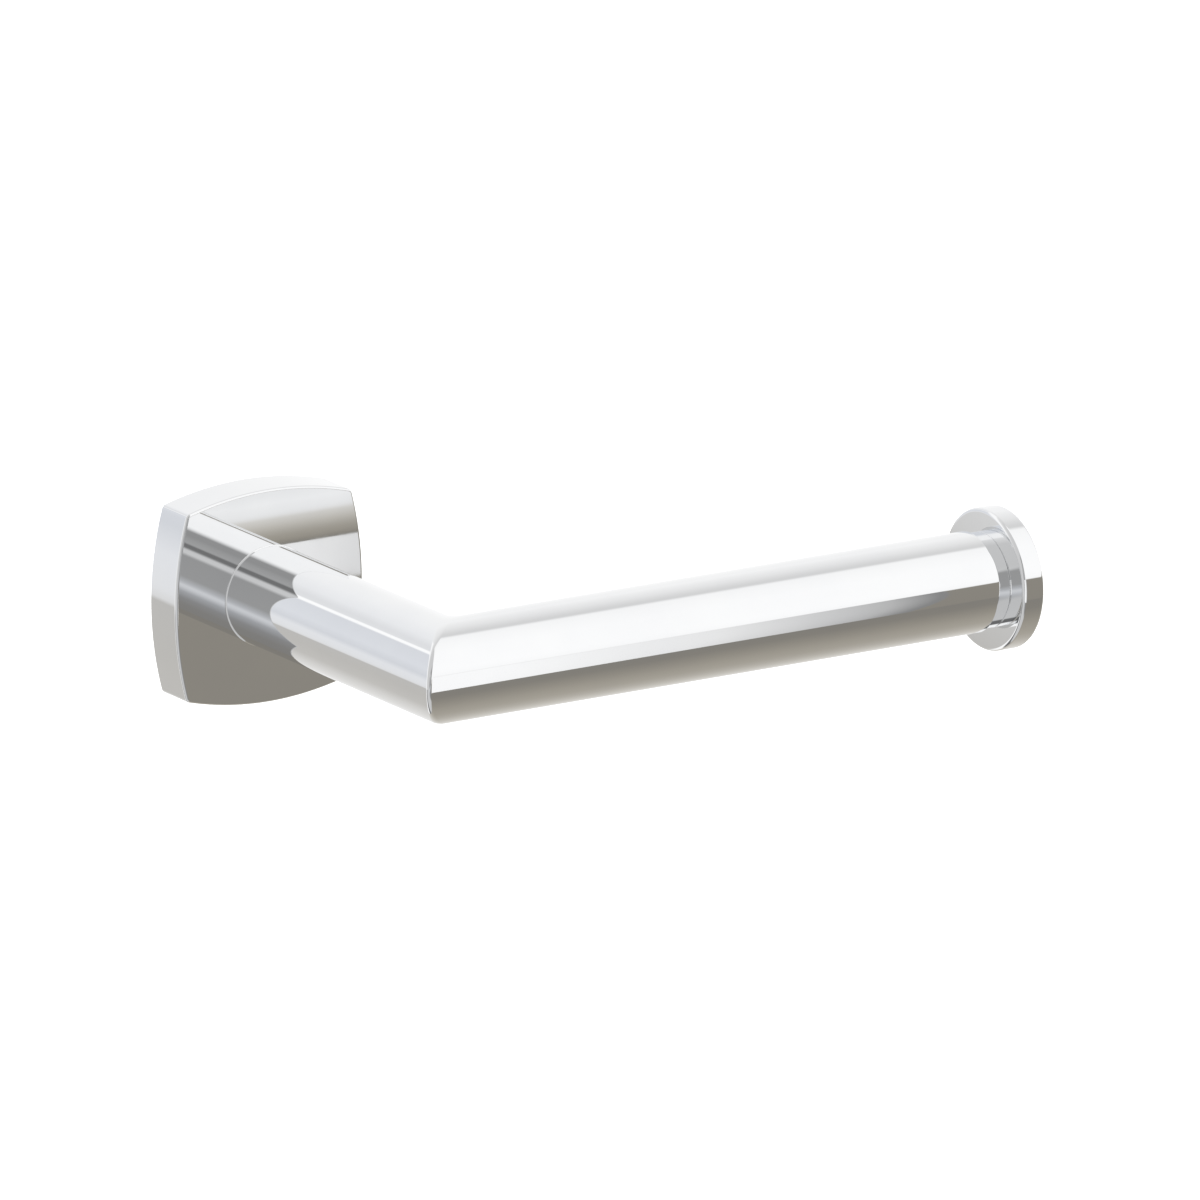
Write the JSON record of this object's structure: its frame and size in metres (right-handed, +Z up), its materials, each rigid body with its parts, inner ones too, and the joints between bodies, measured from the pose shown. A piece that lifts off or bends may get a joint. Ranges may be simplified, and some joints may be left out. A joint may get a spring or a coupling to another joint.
{
  "type": "toilet paper holder",
  "caption": "Wall-mounted toilet paper holder: square rosette with bowed sides, round post, mitred corner and an open-ended roll bar with an end disc.",
  "frame": {"origin": "centre of the rosette's back, on the wall's surface", "axes": "+Z up, +Y into the wall, so the holder stands out towards -Y, and the roll bar runs towards +X"},
  "size_m": [0.1655, 0.1265, 0.047],
  "materials": {
    "polished_chrome": "mirror-polished chrome plate",
    "cast_zinc": "as cast, dull grey",
    "zinc_plated_steel": "bright zinc plate",
    "stainless_steel": "turned, satin",
    "bare_brass": "turned, unplated"
  },
  "bodies": {
    "holder": {"wall_bracket": "cast_zinc", "wall_screws": "zinc_plated_steel", "rosette": "polished_chrome", "post_tube": "polished_chrome", "post_plug": "bare_brass", "post_washer": "stainless_steel", "post_bolt": "stainless_steel", "post_dowel": "stainless_steel", "corner_insert": "bare_brass", "bar_tube": "polished_chrome", "bar_plug": "bare_brass", "groove_ring": "polished_chrome", "end_disc": "polished_chrome", "end_stud": "stainless_steel"},
    "screw_tip": {"set_screw_tip": "bare_brass"},
    "set_screw": {"set_screw": "stainless_steel"}
  },
  "joints": [
    {"name": "set_screw_travel", "type": "slide", "parent": "holder", "child": "screw_tip", "axis": [0, 0, -1], "range_m": [0, 0.0014]},
    {"name": "set_screw_turn", "type": "hinge", "parent": "screw_tip", "child": "set_screw", "pos_m": [0, -0.0037, -0.0205], "axis": [0, 0, -1], "range_deg": [0, 720]}
  ],
  "couplings": [
    {"joint": "set_screw_turn", "follows": "set_screw_travel", "rad_per_m": 8976}
  ]
}
